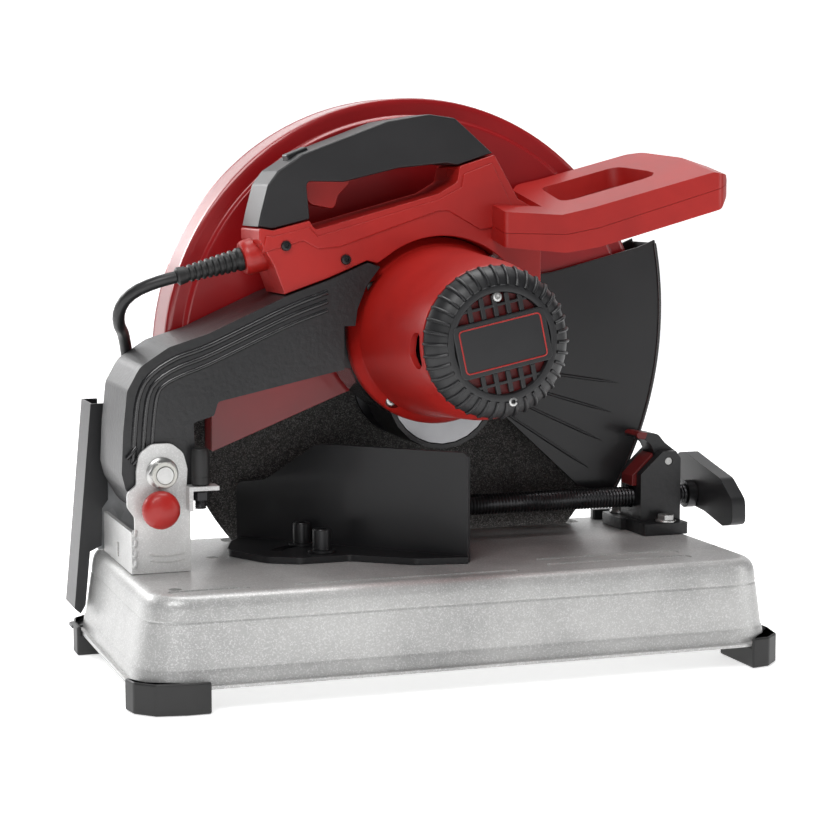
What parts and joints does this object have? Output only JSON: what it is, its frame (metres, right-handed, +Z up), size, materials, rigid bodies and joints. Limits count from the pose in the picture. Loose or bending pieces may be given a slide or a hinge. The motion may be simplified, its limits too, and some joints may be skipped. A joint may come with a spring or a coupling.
{
  "type": "metal cut-off saw",
  "caption": "Bench-top chop saw with an abrasive disc on a tilting head, a pressed tray base, a mitre fence, a screw vise, guards, and a carrying grip and front loop handle",
  "frame": {"origin": "Centre of the machine's footprint on the bench, measured without the free cord", "axes": "+X toward the operator's end and its crank, -Y the motor's side, +Y the disc's side, +Z up"},
  "size_m": [0.4894, 0.379, 0.401],
  "materials": {
    "silver_paint": "satin",
    "black_paint": "satin",
    "red_paint": "satin",
    "galvanised": "zinc plated",
    "cast_black": "black textured paint",
    "red_plastic": "fine grained",
    "black_plastic": "fine grained",
    "rubber": "moulded",
    "abrasive": "coarse grit",
    "copper": "wound copper"
  },
  "bodies": {
    "base": {"base_tray": "silver_paint", "foot_rear_near": "rubber", "foot_rear_far": "rubber", "foot_front_near": "rubber", "foot_front_far": "rubber", "spark_deflector": "black_paint", "pivot_bracket": "silver_paint", "far_cheek": "galvanised", "pivot_bolt": "galvanised", "pivot_nut": "galvanised", "return_spring": "galvanised", "fence_pivot_bolt": "black_paint", "fence_clamp_bolt": "black_paint", "vise_block": "cast_black", "vise_bolt_near": "galvanised", "vise_bolt_far": "galvanised", "release_pin": "galvanised", "cord_lower": "rubber", "cord_coil": "rubber", "plug": "rubber"},
    "depth_stop": {"stop_screw": "galvanised", "stop_bumper": "rubber"},
    "lock_pin": {"lock_pin": "galvanised", "lock_pin_knob": "red_plastic"},
    "fence": {"fence": "black_paint"},
    "release_lever": {"release_lever": "black_plastic", "half_nut": "red_plastic"},
    "vise_carriage": {"jaw_carrier": "cast_black", "jaw_pin": "galvanised"},
    "vise_screw": {"vise_screw": "galvanised", "crank_handle": "black_plastic"},
    "vise_jaw": {"vise_jaw": "black_paint"},
    "saw_head": {"arm": "cast_black", "gear_plate": "galvanised", "upper_guard": "red_paint", "guard_side_plate": "red_paint", "motor_housing": "red_plastic", "motor_end_cap": "black_plastic", "badge_plate": "black_plastic", "stator_core": "galvanised", "spindle_bearing": "galvanised", "handle_shell_near": "red_plastic", "handle_shell_far": "red_plastic", "grip": "black_plastic", "loop_handle_lower": "red_plastic", "loop_handle_upper": "red_plastic", "strain_relief": "black_plastic", "cord_upper": "rubber"},
    "disc_set": {"abrasive_disc": "abrasive", "inner_flange": "galvanised", "outer_flange": "galvanised", "spindle": "galvanised", "spindle_bolt": "galvanised", "drive_gear": "galvanised"},
    "rotor": {"motor_shaft": "galvanised", "armature": "copper", "cooling_fan": "black_plastic"},
    "swing_guard": {"swing_guard": "black_paint"},
    "trigger": {"trigger": "red_plastic"},
    "lock_off": {"lock_off_button": "black_plastic"}
  },
  "joints": [
    {"name": "head_chop", "type": "hinge", "parent": "base", "child": "saw_head", "pos_m": [-0.20125, 0.023, 0.1435], "axis": [0, -1, 0], "range_deg": [0, 40], "stiffness_Nm_per_rad": 6, "springref_deg": 57.3, "deforming": ["cord_upper"]},
    {"name": "disc_spin", "type": "hinge", "parent": "saw_head", "child": "disc_set", "pos_m": [0.01075, 0.0955, 0.19], "axis": [0, 1, 0], "continuous": true},
    {"name": "rotor_spin", "type": "hinge", "parent": "saw_head", "child": "rotor", "pos_m": [0.00375, -0.055, 0.2343], "axis": [0, 1, 0], "continuous": true},
    {"name": "guard_swing", "type": "hinge", "parent": "saw_head", "child": "swing_guard", "pos_m": [0.00975, 0.0635, 0.212], "axis": [0, -1, 0], "range_deg": [0, 55]},
    {"name": "trigger_squeeze", "type": "hinge", "parent": "saw_head", "child": "trigger", "pos_m": [-0.06425, 0.013, 0.346], "axis": [0, 1, 0], "range_deg": [0, 8], "stiffness_Nm_per_rad": 1, "springref_deg": -11.46},
    {"name": "lock_off_press", "type": "slide", "parent": "saw_head", "child": "lock_off", "axis": [0.3746, 0, -0.9272], "range_m": [0, 0.0025], "stiffness_N_per_m": 400, "springref_m": -0.002},
    {"name": "lock_pin_pull", "type": "slide", "parent": "base", "child": "lock_pin", "axis": [0, -1, 0], "range_m": [0, 0.008], "stiffness_N_per_m": 400, "springref_m": -0.003},
    {"name": "depth_set", "type": "slide", "parent": "base", "child": "depth_stop", "axis": [0, 0, 1], "range_m": [0, 0.012]},
    {"name": "fence_mitre", "type": "hinge", "parent": "base", "child": "fence", "pos_m": [-0.08325, -0.001, 0.077], "axis": [0, 0, 1], "range_deg": [-45, 0]},
    {"name": "lever_lift", "type": "hinge", "parent": "base", "child": "release_lever", "pos_m": [0.19875, 0.043, 0.129], "axis": [0, 1, 0], "range_deg": [0, 60]},
    {"name": "vise_slide", "type": "slide", "parent": "base", "child": "vise_carriage", "axis": [1, 0, 0], "range_m": [0, 0.12]},
    {"name": "crank_spin", "type": "hinge", "parent": "vise_carriage", "child": "vise_screw", "pos_m": [0.14175, 0.043, 0.1005], "axis": [1, 0, 0], "continuous": true},
    {"name": "jaw_swivel", "type": "hinge", "parent": "vise_carriage", "child": "vise_jaw", "pos_m": [0.00375, 0.043, 0.105], "axis": [0, 0, 1], "range_deg": [-45, 0]}
  ],
  "couplings": [
    {"joint": "rotor_spin", "follows": "disc_spin", "ratio": -4}
  ]
}
